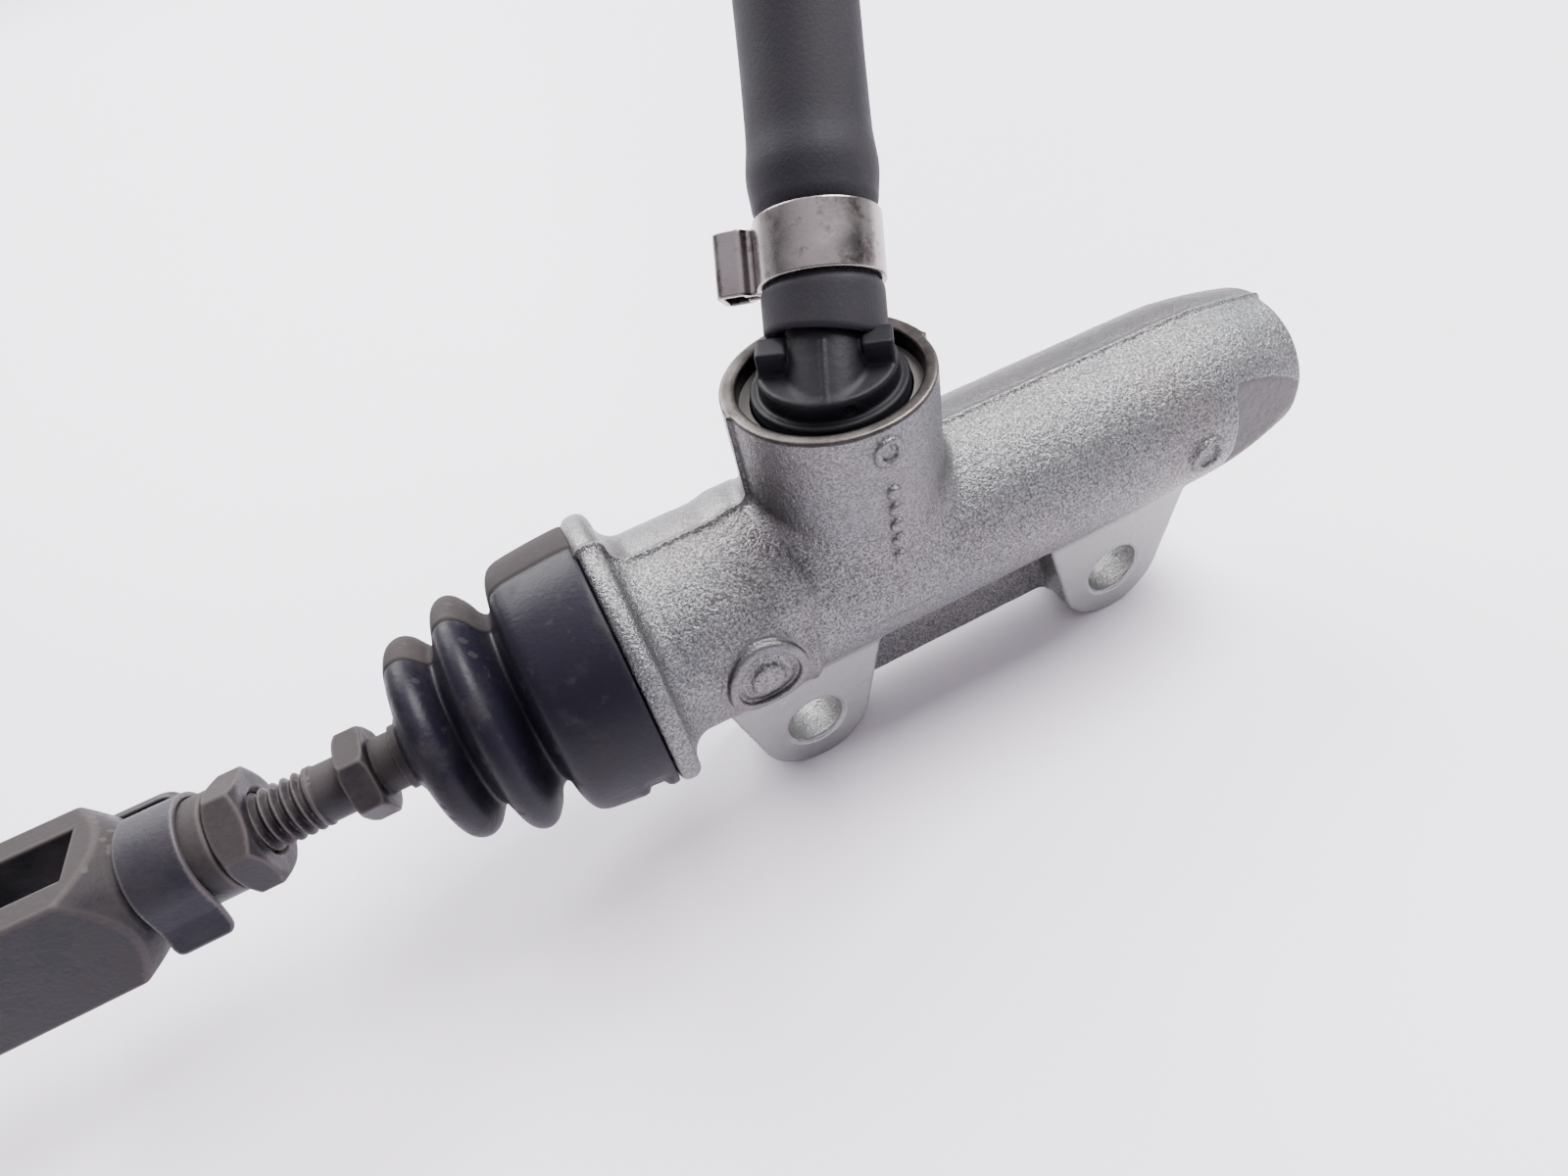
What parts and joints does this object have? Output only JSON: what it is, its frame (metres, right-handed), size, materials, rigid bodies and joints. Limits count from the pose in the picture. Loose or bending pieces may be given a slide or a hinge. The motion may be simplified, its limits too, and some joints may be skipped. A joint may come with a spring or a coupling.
{
  "type": "brake master cylinder",
  "caption": "Rear brake master cylinder: cast body with mounting lugs, booted pushrod with fork, spring clip and locknut, and an elbow with a clamped feed hose.",
  "frame": {"origin": "middle of the two mounting holes, on the lugs' mounting face", "axes": "+X along the bore towards the outlet, +Y out of the mounting face, +Z along the inlet boss towards its mouth"},
  "size_m": [0.1444, 0.0663, 0.1464],
  "materials": {
    "cast_aluminium": "sand-cast, fine bright grain, machined rims",
    "turned_aluminium": "turned",
    "boot_rubber": "moulded, dusty",
    "seal_rubber": "smooth",
    "hose_rubber": "fine matt",
    "black_plastic": "moulded glass-filled nylon",
    "stainless": "rolled strip, stained",
    "dark_steel": "phosphated, dusty",
    "clip_steel": "blued spring steel",
    "bright_steel": "plain"
  },
  "bodies": {
    "housing": {"cylinder_body": "cast_aluminium", "stop_washer": "bright_steel", "retaining_ring": "dark_steel", "elbow_circlip": "dark_steel", "rubber_boot": "boot_rubber", "return_spring": "bright_steel"},
    "piston_group": {"piston": "turned_aluminium", "cup_washer": "bright_steel", "primary_cup": "seal_rubber", "secondary_cup": "seal_rubber", "spring_seat": "bright_steel"},
    "pushrod_group": {"pushrod": "dark_steel", "locknut": "dark_steel", "clevis": "dark_steel"},
    "clip_group": {"spring_clip": "clip_steel", "clevis_pin": "bright_steel"},
    "elbow_group": {"inlet_elbow": "black_plastic", "elbow_o_ring": "seal_rubber", "feed_hose": "hose_rubber", "hose_clamp": "stainless", "reservoir_end_clamp": "stainless"}
  },
  "joints": [
    {"name": "piston_stroke", "type": "slide", "parent": "housing", "child": "piston_group", "axis": [1, 0, 0], "range_m": [0, 0.008], "stiffness_N_per_m": 1500, "springref_m": -0.008, "deforming": ["return_spring", "rubber_boot"]},
    {"name": "pushrod_turn", "type": "hinge", "parent": "piston_group", "child": "pushrod_group", "pos_m": [-0.031, -0.0048, 0.0178], "axis": [1, 0, 0], "range_deg": [-180, 180]},
    {"name": "clip_swing", "type": "hinge", "parent": "pushrod_group", "child": "clip_group", "pos_m": [-0.0972, -0.0048, 0.0178], "axis": [0, -0.9877, 0.1564], "range_deg": [0, 100]},
    {"name": "elbow_swivel", "type": "hinge", "parent": "housing", "child": "elbow_group", "pos_m": [-0.01, -0.0048, 0.0358], "axis": [0, 0, 1], "range_deg": [-75, 75]}
  ]
}
